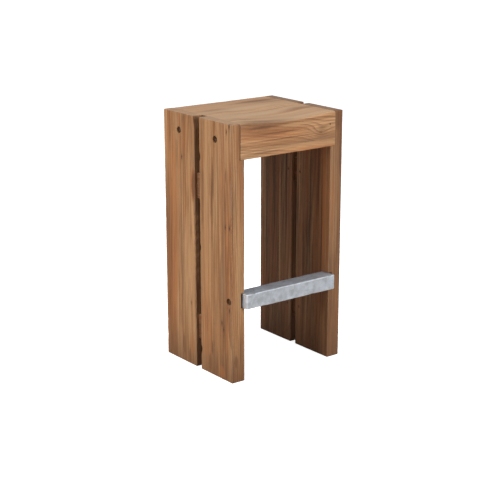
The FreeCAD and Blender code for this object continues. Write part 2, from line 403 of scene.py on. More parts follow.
def mark_wear(piece, low, high, axis):
    """Stores on each vertex how near it is to one of the bar's long edges or ends."""
    points = np.empty(len(piece.data.vertices) * 3)
    piece.data.vertices.foreach_get("co", points)
    points = points.reshape(-1, 3)
    u, v = (axis + 1) % 3, (axis + 2) % 3
    away = np.minimum(points - low, high - points)
    long_edge = np.hypot(away[:, u], away[:, v])
    end_edge = np.hypot(away[:, axis], np.minimum(away[:, u], away[:, v]))
    nearest = np.maximum(np.minimum(long_edge, end_edge), 0)
    layer = piece.data.attributes.new("wear", "FLOAT", "POINT")
    layer.data.foreach_set("value", np.exp(-nearest / WEAR_REACH))


# Timbers -------------------------------------------------------------------

EDGE_FADE = 4 * MM            # how far from an edge its wear reaches
GRAIN_STRETCH = 0.3           # marks are drawn out along the grain by this
CHIP_NOISE = 70               # how closely the chips follow each other
NIBBLE_NOISE = 160
NIBBLE_DEPTH = 0.18 * MM


def worn_surface(grain, seed, dents=(), shape=None):
    """How a planed and weathered timber's surface departs from its flat faces."""
    sizes = settings("timber")

    def surface(point, out, side_reach, end_reach):
        nearness = max(math.exp(-side_reach / EDGE_FADE), 0.8 * math.exp(-end_reach / EDGE_FADE))
        if shape:
            point = shape(point)
        drawn = Vector(point)
        drawn[grain] *= GRAIN_STRETCH
        wave = noise.noise(drawn / sizes.wave_length + Vector((seed, 0, 0)))
        depth = sizes.wave_depth * (0.5 + 0.5 * wave)
        if nearness > 0.02:
            rough = noise.fractal(drawn * CHIP_NOISE + Vector((0, seed, 0)), 0.6, 2.1, 4)
            nibble = noise.noise(Vector(point) * NIBBLE_NOISE + Vector((0, 0, seed)))
            depth += nearness * max(0.0, rough - 0.1) ** 1.4 * sizes.chip_depth
            depth += nearness * NIBBLE_DEPTH * (1 + nibble)
        return dented(point - out * max(0.0, depth), dents)

    return surface


def timber(name, low, high, grain, seed, radii=None, counts=(10, 10), dents=(), shape=None):
    """A worn timber that fills the box from low to high, its grain along one axis."""
    sizes = settings("timber")
    radii = radii or [sizes.edge_radius] * 4
    surface = worn_surface(grain, seed, dents, shape)
    return bar(name, low, high, grain, radii, counts, sizes.station_step, surface)


# Old marks of the four planks.  A nail hole is a height on the outer face and
# a distance from the plank's front edge; a chip is a height and a depth on the
# edge beside the gap; a crack is a height, a distance from the front and a length.
NAIL_HOLES = {
    "front_left": ((705, 10), (689, 22), (433, 29), (434, 10), (206, 12), (162, 46), (145, 38)),
    "front_right": ((640, 31), (302, 88), (96, 20)),
    "rear_left": ((590, 60), (182, 24)),
    "rear_right": ((548, 112), (330, 40), (74, 66)),
}
GAP_CHIPS = {
    "front_left": ((604, 2.0), (352, 1.6), (60, 2.2)),
    "front_right": ((470, 2.4), (214, 2.8)),
    "rear_left": (
        (258, 1.6), (281, 2.4), (306, 1.3), (327, 2.7), (349, 1.8), (376, 2.5), (402, 1.4),
        (431, 2.1), (520, 1.4), (150, 1.3)),
    "rear_right": ((566, 2.6), (405, 3.4), (128, 2.4)),
}
CRACKS = {
    "front_left": ((93, 83, 15),),
    "front_right": ((655, 60, 38),),
    "rear_left": ((60, 65, 44), (668, 96, 26)),
    "rear_right": ((70, 102, 52),),
}
CRACK_WIDTH = 0.7 * MM
CRACK_DEPTH = 4 * MM
CHIP_REACH = np.array((12, 10, 13)) * MM
WORN_CORNER_REACH = np.array((34, 22, 40)) * MM
WORN_CORNER_PUSH = np.array((0, 5, 0)) * MM
NAIL_MOUTH = 1.5 * MM         # a nail hole's radius at the face
NAIL_TIP = 0.8 * MM           # and at its bottom
NOTCH_END_GAP = 6 * MM        # between the footrest's end and its notch
NOTCH_HEAD_GAP = 1.5 * MM     # above the footrest in its notch


def gap_dents(key, side, low, high, row):
    """Chips along the outer edge beside the gap, and the worn-back top corner."""
    sign = SIDES[side]
    outer = high[X] if sign > 0 else low[X]
    gap_y, inward = (high[Y], -1) if row == "front" else (low[Y], 1)
    dents = []
    for height, depth in GAP_CHIPS[key]:
        centre = np.array((outer, gap_y, height * MM))
        push = np.array((-sign * depth * 0.6, inward * depth, 0)) * MM
        dents.append((centre, CHIP_REACH, push))
    if key == "rear_left":
        centre = np.array((outer, gap_y, high[Z] + 4 * MM))
        dents.append((centre, WORN_CORNER_REACH, WORN_CORNER_PUSH))
    return dents


def cut_housings(piece, side, row, low, high):
    """The seat rebate, the footrest notch and the mortises of one plank."""
    sign = SIDES[side]
    seat_low, seat_high = span("seat_beam_front")
    bar_low, bar_high = span("footrest_sleeve")
    inner = low[X] if sign > 0 else high[X]
    past = 5 * MM
    housings = Cutter("housings")

    def housing(wall, y0, y1, z0, z1):
        ends = sorted((inner - sign * past, sign * wall))
        housings.box((ends[0], y0, z0), (ends[1], y1, z1))

    housing(seat_high[X], low[Y] - past, high[Y] + past, seat_low[Z], high[Z] + past)
    if row == "front":
        wall, head = bar_high[X] + NOTCH_END_GAP, bar_high[Z] + NOTCH_HEAD_GAP
        housing(wall, low[Y] - past, bar_high[Y], bar_low[Z], head)
    for level in LEVELS:
        housings.box(*span("tenon_" + level + "_" + side))
    housings.take_from(piece)


def cut_round_holes(piece, key, side, low, high):
    """Peg holes, clearance holes, counterbores, nail holes and drying cracks of one plank."""
    metal = settings("metal")
    sign = SIDES[side]
    outer, inner = (high[X], low[X]) if sign > 0 else (low[X], high[X])
    past = np.array((sign * OVERRUN, 0, 0))
    narrow, wide = Cutter("narrow holes"), Cutter("counterbores")
    for level in LEVELS:
        for start, end, radius in rods_in("pegs_" + level + "_" + side, 2):
            if low[Y] < start[Y] < high[Y]:
                mouth, tip = (start, end) if sign > 0 else (end, start)
                narrow.rod(mouth - past, tip, radius, segments=20)
    for start, end, _ in washers(side):
        if low[Y] < start[Y] < high[Y]:
            floor = start if sign > 0 else end
            face, back = floor.copy(), floor.copy()
            face[X], back[X] = outer, inner
            narrow.rod(face, back - past, metal.clearance / 2)
            wide.rod(face + past, floor, metal.counterbore / 2)
    for height, forward in NAIL_HOLES[key]:
        mouth = np.array((outer, low[Y] + forward * MM, height * MM))
        narrow.rod(mouth + past, mouth - past * 3, NAIL_MOUTH, NAIL_TIP, segments=12)
    for height, forward, run in CRACKS[key]:
        centre = Vector((outer, low[Y] + forward * MM, height * MM))
        half = Vector((CRACK_DEPTH, CRACK_WIDTH, run * MM)) / 2
        narrow.box(centre - half, centre + half, Matrix.Rotation(0.03, 4, "X"))
    narrow.take_from(piece)
    wide.take_from(piece)


def build_plank(side, row, seed):
    key = row + "_" + side
    low, high = span("leg_" + key)
    dents = gap_dents(key, side, low, high, row)
    piece = timber("plank_" + key, low, high, Z, seed, counts=(10, 18), dents=dents)
    cut_housings(piece, side, row, low, high)
    cut_round_holes(piece, key, side, low, high)
    mark_wear(piece, low, high, Z)
    finish_piece(piece, plank_teak(key, seed, low, high), "plank_teak", "leg_" + key)


def scoop():
    """How the seat's top is lowered to its hollow: a wide cylinder tipped towards the front."""
    sizes = settings("timber")
    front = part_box("seat_beam_front")[0][Y]
    back, top = CAD_BOX[1][Y] - sizes.scoop_back_margin, CAD_BOX[1][Z]
    radius = (sizes.scoop_half_width ** 2 + sizes.scoop_depth ** 2) / (2 * sizes.scoop_depth)
    soft, moving = 0.6 * MM, 30 * MM

    def scooped(point):
        hollow = sizes.scoop_depth * (back - point[Y]) / (back - front) - point[X] ** 2 / (2 * radius)
        hollow = 0.5 * (hollow + math.sqrt(hollow ** 2 + soft ** 2))
        share = min(1.0, max(0.0, (point[Z] - top + moving) / moving))
        return point - np.array((0, 0, hollow * share))

    return scooped


def pilot_holes(holes, low, high, screws, washer_row, count):
    """Bores a timber for the screws that enter its two ends."""
    radius = settings("metal").screw_diameter / 2
    for side, sign in SIDES.items():
        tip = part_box(screws + side)[0 if sign > 0 else 1][X]
        for start, _, _ in rods_in(washer_row + side, count):
            if low[Y] < start[Y] < high[Y]:
                mouth = (sign * (high[X] + OVERRUN), start[Y], start[Z])
                holes.rod(mouth, (tip, start[Y], start[Z]), radius, segments=24)


def build_beam(row, seed):
    """One of the seat's two beams, with its dowel holes and pilot holes."""
    sizes = settings("timber")
    low, high = span("seat_beam_" + row)
    high[Z] = CAD_BOX[1][Z]
    edge, joint, front = sizes.edge_radius, sizes.joint_radius, sizes.seat_front_radius
    radii = [edge, joint, joint, front] if row == "front" else [joint, edge, edge, joint]
    piece = timber("beam_" + row, low, high, X, seed, radii, (22, 12), (), scoop())
    holes = Cutter("seat holes")
    dowel_low, dowel_high = span("seat_dowels")
    radius = (dowel_high[Z] - dowel_low[Z]) / 2
    middle = dowel_low[Z] + radius
    for x in np.linspace(dowel_low[X] + radius, dowel_high[X] - radius, 3):
        holes.rod((x, dowel_low[Y], middle), (x, dowel_high[Y], middle), radius, segments=24)
    pilot_holes(holes, low, high, "seat_screws_", "seat_washers_", 2)
    holes.take_from(piece)
    mark_wear(piece, low, high, X)
    finish_piece(piece, seat_teak(row, seed), "seat_teak", "seat_beam_" + row)


# Footrest ------------------------------------------------------------------

FOLD_FADE = 6 * MM            # how far from a fold the sheet stays true
SWELL_NOISE, RIPPLE_NOISE, KINK_NOISE = 22, 75, 60
KINK_DEPTH = 0.35 * MM
KNOCKS = ((-128, 0, 1.6), (-96, 1, 0.9), (18, 0, 0.8), (74, 1, 1.1), (139, 0, 1.2))
KNOCK_REACH = np.array((11, 8, 8)) * MM
SEAM_STOP = 9 * MM            # the seam ends this far from the sleeve's ends
END_GROOVES = ((14 * MM, 0.25), (-11 * MM, -0.2))     # from the front or back, and their lean
GROOVE = Vector((0.8 * MM, 0.6 * MM, 60 * MM))


def beaten_surface(seed, dents):
    """How the hand-folded sheet departs from its flat faces."""
    def surface(point, out, side_reach, end_reach):
        flat = 1 - math.exp(-side_reach / FOLD_FADE)
        swell = noise.noise(Vector(point) * SWELL_NOISE + Vector((seed, 0, 0)))
        ripple = noise.noise(Vector(point) * RIPPLE_NOISE + Vector((0, seed, 0)))
        depth = flat * (0.35 + 0.25 * swell + 0.12 * ripple) * MM
        kink = (1 - flat) * max(0.0, noise.noise(Vector(point) * KINK_NOISE)) * KINK_DEPTH
        return dented(point - out * (depth + kink), dents)

    return surface


def straight(point, *_):
    """A surface that keeps its points."""
    return point


def sheet_dents(low, high):
    """Knocks on the sleeve's front corners: a place along it, at its foot or not, and a depth."""
    front, top = low[Y], high[Z]
    knocks = []
    for along, at_foot, depth in KNOCKS:
        place = np.array((along * MM, front, low[Z] if at_foot else top))
        push = np.array((0, depth, depth if at_foot else -depth)) * MM * 0.7
        knocks.append((place, KNOCK_REACH, push))
    return knocks


def build_sleeve():
    """Sheet folded round the core: open along the seam underneath and at the screws."""
    metal = settings("metal")
    low, high = span("footrest_sleeve")
    wall = np.array((metal.sheet,) * 3)
    radii = [metal.bend_radius] * 4
    outer = bar(
        "footrest_sleeve_sheet", low, high, X, radii, (12, 10), 4 * MM,
        beaten_surface(4.0, sheet_dents(low, high)))
    inner_radii = [metal.bend_radius - metal.sheet] * 4
    cut(outer, bar("inside", low + wall, high - wall, X, inner_radii, (4, 4), 20 * MM, straight))
    openings = Cutter("sheet openings")
    middle = (low[Y] + high[Y]) / 2
    half = metal.seam_width / 2
    reach = high[X] - SEAM_STOP
    openings.box((-reach, middle - half, low[Z] - OVERRUN), (reach, middle + half, low[Z] + OVERRUN))
    for side, sign in SIDES.items():
        start = washers(side)[2][0]
        for forward, lean in END_GROOVES:
            y = (low[Y] if forward > 0 else high[Y]) + forward
            centre = Vector((sign * high[X], y, (low[Z] + high[Z]) / 2))
            openings.box(centre - GROOVE / 2, centre + GROOVE / 2, Matrix.Rotation(lean, 4, "X"))
        openings.rod(
            (sign * (high[X] - 4 * MM), start[Y], start[Z]),
            (sign * (high[X] + OVERRUN), start[Y], start[Z]),
            metal.clearance / 2)
    openings.take_from(outer)
    mark_wear(outer, low, high, X)
    finish_piece(outer, galvanised_sheet(), "galvanised_sheet", "footrest_sleeve")


def build_core():
    """The timber bar inside the sleeve."""
    metal = settings("metal")
    low, high = span("footrest_core")
    radii = [metal.bend_radius - metal.sheet] * 4
    piece = timber("footrest_core_timber", low, high, X, 31.0, radii, (6, 6))
    holes = Cutter("core holes")
    pilot_holes(holes, low, high, "footrest_screw_", "footrest_washer_", 1)
    holes.take_from(piece)
    mark_wear(piece, low, high, X)
    finish_piece(piece, joint_teak("core", X), "joint_teak", "footrest_core")


def build_tenon(level, side):
    """A loose tenon with its two peg holes."""
    name = "tenon_" + level + "_" + side
    low, high = span(name)
    piece = timber("loose_" + name, low, high, Y, 40.0 + high[Z], [1.2 * MM] * 4, (8, 8))
    holes = Cutter("peg holes")
    for start, end, radius in rods_in("pegs_" + level + "_" + side, 2):
        holes.rod(start - (OVERRUN, 0, 0), end + (OVERRUN, 0, 0), radius, segments=20)
    holes.take_from(piece)
    mark_wear(piece, low, high, Y)
    finish_piece(piece, joint_teak("tenon", Y), "joint_teak", name)


# Turned patterns -----------------------------------------------------------

def turned(name, rings, segments, closed=False):
    """A turned shape along +X: rings are functions or numbers giving the radius at each x."""
    points, faces = [], []
    turns = [2 * math.pi * index / segments for index in range(segments)]
    for x, radius in rings:
        for turn in turns:
            reach = radius(turn) if callable(radius) else radius
            points.append((x, reach * math.cos(turn), reach * math.sin(turn)))
    rows = list(range(0, len(points), segments))
    pairs = list(zip(rows, rows[1:] + rows[:1])) if closed else list(zip(rows, rows[1:]))
    for first, following in pairs:
        for index in range(segments):
            after = (index + 1) % segments
            faces.append((first + index, following + index, following + after, first + after))
    if not closed:
        faces.append(tuple(range(segments)))
        faces.append(tuple(reversed(range(rows[-1], rows[-1] + segments))))
    piece = new_piece(name, points, faces)
    mesh = bmesh.new()
    mesh.from_mesh(piece.data)
    bmesh.ops.recalc_face_normals(mesh, faces=mesh.faces)
    mesh.to_mesh(piece.data)
    mesh.free()
    return piece


def peg_pattern(name, length_x, radius, segments, flutes):
    """A round pin along +X with eased ends; flutes run along it when it has any."""
    ease = radius * 0.16

    def fluted(turn):
        return radius * (1 - 0.05 * (0.5 + 0.5 * math.cos(flutes * turn)) ** 3)

    side = fluted if flutes else radius
    rings = [
        (0, radius - 2 * ease), (ease * 0.3, radius - ease), (ease, side), (length_x - ease, side),
        (length_x - ease * 0.3, radius - ease), (length_x, radius - 2 * ease)]
    return turned(name, rings, segments)


def washer_pattern(thickness, outer, bore):
    ease = 0.25 * MM
    rings = [
        (0, outer - ease), (ease, outer), (thickness - ease, outer), (thickness, outer - ease),
        (thickness, bore + ease), (thickness - ease, bore), (ease, bore), (0, bore + ease)]
    return turned("washer pattern", rings, 40, closed=True)


def screw_pattern(run):
    """A coach screw along +X with the underside of its hexagonal head at the origin."""
    metal = settings("metal")
    flat, top = metal.head_across / 2, metal.head_height
    crest, root = metal.screw_diameter / 2, metal.screw_root / 2
    corner = flat / math.cos(math.pi / 6)

    def hexagon(limit):
        def reach(turn):
            return min(limit, flat / math.cos(turn % (math.pi / 3) - math.pi / 6))
        return reach

    def thread(x):
        def reach(turn):
            phase = (x / metal.screw_pitch - turn / (2 * math.pi)) % 1
            ridge = max(0.0, 1 - abs(phase - 0.5) / 0.32)
            grown = min(1.0, (x - metal.screw_shank) / metal.screw_pitch)
            taper = min(1.0, max(0.02, (run - x) / metal.screw_point))
            return (root + (crest - root) * ridge * grown) * taper
        return reach

    rings = [(-top + 0.5 * MM, flat * 0.45), (-top, flat * 0.62), (-top, flat * 0.93)]
    for share in np.linspace(0.15, 1, 5):
        rings.append((-top + 1.2 * MM * share, hexagon(flat * 0.93 + (corner - flat * 0.93) * share)))
    rings += [(-0.3 * MM, hexagon(corner)), (0, hexagon(corner * 0.97)), (0, crest)]
    rings.append((metal.screw_shank, crest))
    for x in np.arange(metal.screw_shank + 0.01 * MM, run, metal.screw_pitch / 7):
        rings.append((x, thread(x)))
    rings.append((run, 0.1 * MM))
    return turned("coach screw pattern", rings, 36)


def tack_pattern(run, head_radius):
    """A tack driven along +X, its domed head's underside one head height from the origin."""
    metal = settings("metal")
    rings = [(0, head_radius * 0.3), (0.12 * MM, head_radius * 0.7), (0.4 * MM, head_radius * 0.95)]
    rings += [(0.6 * MM, head_radius), (metal.tack_head, head_radius * 0.96)]
    rings += [(metal.tack_head, metal.tack_shank / 2), (run - 4 * MM, metal.tack_shank / 2)]
    rings.append((run, 0.1 * MM))
    return turned("tack pattern", rings, 16)


# Rows of copies ------------------------------------------------------------

ROW_INPUTS = (
    ("Pattern", "NodeSocketObject"), ("Finish", "NodeSocketMaterial"), ("Count", "NodeSocketInt"),
    ("Start", "NodeSocketVector"), ("Step", "NodeSocketVector"), ("Stagger", "NodeSocketVector"),
    ("Turn", "NodeSocketVector"), ("Spin", "NodeSocketFloat"), ("Seed", "NodeSocketInt"))


def row_tree():
    """Copies of a pattern in a row: every second one staggered, each spun about its own axis."""
    tree = bpy.data.node_groups.get("Row of copies")
    if tree:
        return tree
    tree = bpy.data.node_groups.new("Row of copies", "GeometryNodeTree")
    tree.interface.new_socket("Geometry", in_out="INPUT", socket_type="NodeSocketGeometry")
    for name, kind in ROW_INPUTS:
        tree.interface.new_socket(name, in_out="INPUT", socket_type=kind)
    tree.interface.new_socket("Geometry", in_out="OUTPUT", socket_type="NodeSocketGeometry")
    given = tree.nodes.new("NodeGroupInput").outputs
    line = add(tree, "GeometryNodeMeshLine", {"Count": given["Count"], "Start Location": given["Start"],
                                             "Offset": given["Step"]}, mode="OFFSET")
    index = add(tree, "GeometryNodeInputIndex").outputs[0]
    odd = maths(tree, "MODULO", index, 2.0)
    shift = stretched(tree, given["Stagger"], odd)
    moved = add(tree, "GeometryNodeSetPosition", {"Geometry": line.outputs[0], "Offset": shift})
    spin = add(tree, "FunctionNodeRandomValue", {"Max": given["Spin"], "ID": index, "Seed": given["Seed"]})
    turn = add(tree, "FunctionNodeEulerToRotation", {0: given["Turn"]})
    twist = add(tree, "FunctionNodeAxisAngleToRotation", {"Axis": (1, 0, 0), "Angle": spin.outputs["Value"]})
    both = add(tree, "FunctionNodeRotateRotation", {0: turn.outputs[0], 1: twist.outputs[0]},
               rotation_space="LOCAL")
    pattern = add(tree, "GeometryNodeObjectInfo", {"Object": given["Pattern"]})
    placed = add(tree, "GeometryNodeInstanceOnPoints", {
        "Points": moved.outputs[0], "Instance": pattern.outputs["Geometry"], "Rotation": both.outputs[0]})
    whole = add(tree, "GeometryNodeRealizeInstances", {0: placed.outputs[0]})
    painted = add(tree, "GeometryNodeSetMaterial", {
        "Geometry": whole.outputs[0], "Material": given["Finish"]})
    output = tree.nodes.new("NodeGroupOutput")
    tree.links.new(painted.outputs[0], output.inputs[0])
    return tree


def copies(name, pattern, finish, slot, node, **values):
    """One plain mesh of a pattern's copies, which stands for a node."""
    tree = row_tree()
    piece = new_piece(name, [], [])
    modifier = piece.modifiers.new("row", "NODES")
    modifier.node_group = tree
    values.update(Pattern=pattern, Finish=finish)
    for item in tree.interface.items_tree:
        if item.in_out == "INPUT" and item.name in values:
            modifier[item.identifier] = values[item.name]
    bake(piece)
    if len(piece.data.polygons) < len(pattern.data.polygons):
        raise RuntimeError(name + " came out empty")
    discard(pattern)
    finish_piece(piece, finish, slot, node)


def row_of_rods(name, pattern, finish, slot, node, rods, side, spin, seed):
    """Copies at the ends of rods along X, pointing inwards from the outer face or outwards."""
    starts = [rod[0] if side > 0 else rod[1] for rod in rods]
    step = starts[1] - starts[0] if len(rods) > 1 else np.zeros(3)
    turn = (0.0, 0.0, 0.0 if side > 0 else math.pi)
    copies(name, pattern, finish, slot, node, Count=len(rods), Start=tuple(starts[0]),
           Step=tuple(step), Turn=turn, Spin=spin, Seed=seed)


# Node helpers --------------------------------------------------------------

def feed(tree, socket, value):
    """Links a socket to a value that is a socket too, or else sets it."""
    if isinstance(value, bpy.types.NodeSocket):
        tree.links.new(value, socket)
    else:
        socket.default_value = value


def add(tree, kind, values=None, **properties):
    """Adds a node; each value is a link when it is a socket, else a default."""
    node = tree.nodes.new(kind)
    for name, value in properties.items():
        setattr(node, name, value)
    for key, value in (values or {}).items():
        feed(tree, node.inputs[key], value)
    return node


def maths(tree, operation, *values, clamp=False):
    node = add(tree, "ShaderNodeMath", dict(enumerate(values)), operation=operation, use_clamp=clamp)
    return node.outputs[0]


def times(tree, first, second):
    return maths(tree, "MULTIPLY", first, second)


def plus(tree, first, second):
    return maths(tree, "ADD", first, second)


def vector_maths(tree, operation, first, second):
    return add(tree, "ShaderNodeVectorMath", {0: first, 1: second}, operation=operation).outputs[0]


def stretched(tree, vector, factor):
    """A vector times one number."""
    return add(tree, "ShaderNodeVectorMath", {0: vector, "Scale": factor}, operation="SCALE").outputs[0]


def length_of(tree, vector):
    return add(tree, "ShaderNodeVectorMath", {0: vector}, operation="LENGTH").outputs["Value"]


def fade(tree, value, start, end):
    """0 at start, 1 at end, smooth between."""
    node = add(tree, "ShaderNodeMapRange", {"Value": value, "From Min": start, "From Max": end},
               interpolation_type="SMOOTHSTEP")
    return node.outputs[0]


def spread(tree, value, low, high):
    """Brings a 0 to 1 value to low to high."""
    return add(tree, "ShaderNodeMapRange", {"Value": value, "To Min": low, "To Max": high}).outputs[0]


MIX_COLOUR_SOCKETS = (0, 6, 7)    # a Mix node's factor and its two colours


def mixed(tree, share, first, second):
    node = add(tree, "ShaderNodeMix", data_type="RGBA", blend_type="MIX")
    for place, value in zip(MIX_COLOUR_SOCKETS, (share, first, second)):
        feed(tree, node.inputs[place], value)
    return node.outputs[2]


def stained(tree, body, stain, mask, amount):
    """A body colour stained through a mask."""
    return mixed(tree, times(tree, mask, amount), body, stain)


def cloud(tree, vector, scale, detail=2.0, roughness=0.5):
    node = add(tree, "ShaderNodeTexNoise", {
        "Vector": vector, "Scale": scale, "Detail": detail, "Roughness": roughness})
    return node.outputs["Fac"]


def scaled(tree, vector, *factors):
    return vector_maths(tree, "MULTIPLY", vector, factors)


def wander(tree, vector, scale, amount):
    """A small push at each place, the same each time."""
    push = add(tree, "ShaderNodeTexNoise", {"Vector": vector, "Scale": scale, "Detail": 3.0})
    push = vector_maths(tree, "SUBTRACT", push.outputs["Color"], (0.5, 0.5, 0.5))
    return stretched(tree, push, amount)


def shader_group(name, inputs, outputs, build):
    """Makes a node group once; build returns the outputs' sockets from the inputs."""
    tree = bpy.data.node_groups.get(name)
    if tree:
        return tree
    tree = bpy.data.node_groups.new(name, "ShaderNodeTree")
    for label, kind in inputs:
        tree.interface.new_socket(label, in_out="INPUT", socket_type="NodeSocket" + kind)
    for label, kind in outputs:
        tree.interface.new_socket(label, in_out="OUTPUT", socket_type="NodeSocket" + kind)
    given = tree.nodes.new("NodeGroupInput").outputs
    results = build(tree, given)
    output = tree.nodes.new("NodeGroupOutput")
    for (label, _), socket in zip(outputs, results):
        tree.links.new(socket, output.inputs[label])
    return tree


def placed_group(tree, group, values):
    node = tree.nodes.new("ShaderNodeGroup")
    node.node_tree = group
    for key, value in values.items():
        feed(tree, node.inputs[key], value)
    return node.outputs


# Shared effects ------------------------------------------------------------

def build_grain(tree, given):
    """Solid wood whose grain runs along the vector's Z."""
    place = given["Vector"]
    along = add(tree, "ShaderNodeSeparateXYZ", {0: place}).outputs[2]
    wobble = wander(tree, scaled(tree, place, 1, 1, 0.06), 16.0, given["Waviness"])
    lean = stretched(tree, given["Lean"], along)
    flat = scaled(tree, place, 1, 1, 0)
    pith = vector_maths(tree, "ADD", vector_maths(tree, "SUBTRACT", flat, given["Pith"]), lean)
    pith = scaled(tree, vector_maths(tree, "ADD", pith, wobble), 1, 1, 0)
    reach = plus(tree, length_of(tree, pith), given["Bulge"])
    year = maths(tree, "DIVIDE", reach, given["Ring Spacing"])
    season = maths(tree, "FRACT", year)
    number = maths(tree, "FLOOR", year)
    vigour = add(tree, "ShaderNodeTexWhiteNoise", {"W": number}, noise_dimensions="1D").outputs["Value"]
    rise, fall = fade(tree, season, 0.30, 0.90), fade(tree, season, 1.0, 0.90)
    late = times(tree, times(tree, rise, fall), spread(tree, vigour, 0.25, 1.0))
    streak = cloud(tree, scaled(tree, place, 1, 1, 0.025), 165.0, 5.0, 0.64)
    fibre = cloud(tree, scaled(tree, place, 1, 1, 0.018), 1150.0, 2.0, 0.6)
    pore = fade(tree, cloud(tree, scaled(tree, place, 1, 1, 0.05), 1500.0, 1.0), 0.62, 0.72)
    pore = times(tree, pore, maths(tree, "SUBTRACT", 1.0, season))
    broad = scaled(tree, place, 1, 1, 0.07)
    tone = fade(tree, cloud(tree, broad, 26.0, 3.0, 0.55), 0.36, 0.64)
    warm = fade(tree, cloud(tree, vector_maths(tree, "ADD", broad, (3.1, 1.7, 0.4)), 34.0, 3.0), 0.48, 0.70)
    grey = fade(tree, cloud(tree, vector_maths(tree, "ADD", broad, (7.3, 4.9, 2.2)), 44.0, 3.0), 0.50, 0.72)
    dark = fade(tree, cloud(tree, vector_maths(tree, "ADD", scaled(tree, place, 1, 1, 0.05), (1.9, 8.1, 5.5)),
                            75.0, 4.0, 0.62), 0.52, 0.74)
    body = mixed(tree, tone, given["Honey"], given["Pale"])
    body = stained(tree, body, given["Rust"], warm, 0.60)
    body = stained(tree, body, given["Ash"], grey, 0.30)
    for mask, amount in ((dark, given["Streaks"]), (late, given["Figure"]), (pore, 0.45)):
        body = stained(tree, body, given["Umber"], mask, amount)
    value = plus(tree, times(tree, spread(tree, streak, -1, 1), 0.80), 1.0)
    value = plus(tree, value, times(tree, spread(tree, fibre, -1, 1), 0.34))
    body = stretched(tree, body, value)
    height = plus(tree, times(tree, late, 0.35), times(tree, streak, 0.5))
    height = plus(tree, height, times(tree, fibre, 0.45))
    height = maths(tree, "SUBTRACT", height, times(tree, pore, 0.6))
    return body, height, streak


def grain_group():
    inputs = [
        ("Vector", "Vector"), ("Pith", "Vector"), ("Lean", "Vector"), ("Ring Spacing", "Float"),
        ("Waviness", "Float"), ("Bulge", "Float"), ("Figure", "Float"), ("Streaks", "Float"),
        ("Pale", "Color"), ("Honey", "Color"), ("Umber", "Color"), ("Rust", "Color"), ("Ash", "Color")]
    outputs = [("Color", "Color"), ("Height", "Float"), ("Streak", "Float")]
    return shader_group("Solid teak grain", inputs, outputs, build_grain)


def build_spot(tree, given):
    """A ragged stain round a centre, longest along the size's longest side."""
    offset = vector_maths(tree, "SUBTRACT", given["Vector"], given["Centre"])
    ragged = wander(tree, given["Vector"], 160.0, given["Raggedness"])
    offset = vector_maths(tree, "DIVIDE", vector_maths(tree, "ADD", offset, ragged), given["Size"])
    return (fade(tree, length_of(tree, offset), 1.0, given["Core"]),)


def spot_group():
    inputs = [("Vector", "Vector"), ("Centre", "Vector"), ("Size", "Vector"), ("Core", "Float"),
              ("Raggedness", "Float")]
    return shader_group("Ragged spot", inputs, [("Mask", "Float")], build_spot)


def build_wear(tree, given):
    """Wear along the edges, broken up by noise, from the wear attribute."""
    nearness = add(tree, "ShaderNodeAttribute", attribute_name="wear").outputs["Fac"]
    broken = cloud(tree, given["Vector"], given["Scale"], 4.0, 0.6)
    both = plus(tree, nearness, spread(tree, broken, -0.55, 0.55))
    return (times(tree, fade(tree, both, 0.45, 1.0), given["Amount"]),)


def wear_group():
    inputs = [("Vector", "Vector"), ("Scale", "Float"), ("Amount", "Float")]
    return shader_group("Edge wear", inputs, [("Mask", "Float")], build_wear)


def build_patina(tree, given):
    """Blotches and fine specks over a metal."""
    blotch = fade(tree, cloud(tree, given["Vector"], given["Scale"], 5.0, 0.62), 0.38, 0.66)
    speck = fade(tree, cloud(tree, given["Vector"], times(tree, given["Scale"], 14.0), 2.0),
                 0.55, 0.75)
    return blotch, speck


def patina_group():
    return shader_group("Metal patina", [("Vector", "Vector"), ("Scale", "Float")],
                        [("Blotch", "Float"), ("Speck", "Float")], build_patina)


# Finishes ------------------------------------------------------------------

def new_material(name):
    material = bpy.data.materials.new(name)
    material.use_nodes = True
    tree = material.node_tree
    tree.nodes.clear()
    shader = add(tree, "ShaderNodeBsdfPrincipled")
    output = tree.nodes.new("ShaderNodeOutputMaterial")
    tree.links.new(shader.outputs[0], output.inputs[0])
    place = add(tree, "ShaderNodeTexCoord").outputs["Object"]
    return material, tree, shader.inputs, place


def bumped(tree, inputs, height, distance, amount):
    bump = add(tree, "ShaderNodeBump", {"Height": height, "Distance": distance, "Strength": amount})
    tree.links.new(bump.outputs[0], inputs["Normal"])


def along_z(tree, place, grain, shift):
    """The place with the grain's axis turned to Z, moved so that no two pieces match."""
    parts = add(tree, "ShaderNodeSeparateXYZ", {0: place}).outputs
    order = {0: parts[(grain + 1) % 3], 1: parts[(grain + 2) % 3], 2: parts[grain]}
    turned_place = add(tree, "ShaderNodeCombineXYZ", order).outputs[0]
    return add(tree, "ShaderNodeMapping", {"Vector": turned_place, "Location": shift}).outputs[0]


def facing(tree, axis, start, end):
    """Rises to 1 where a face looks along an axis, upwards only for Z."""
    normal = add(tree, "ShaderNodeSeparateXYZ", {0: add(tree, "ShaderNodeTexCoord").outputs["Normal"]})
    along = normal.outputs[axis]
    return fade(tree, along if axis == Z else maths(tree, "ABSOLUTE", along), start, end)


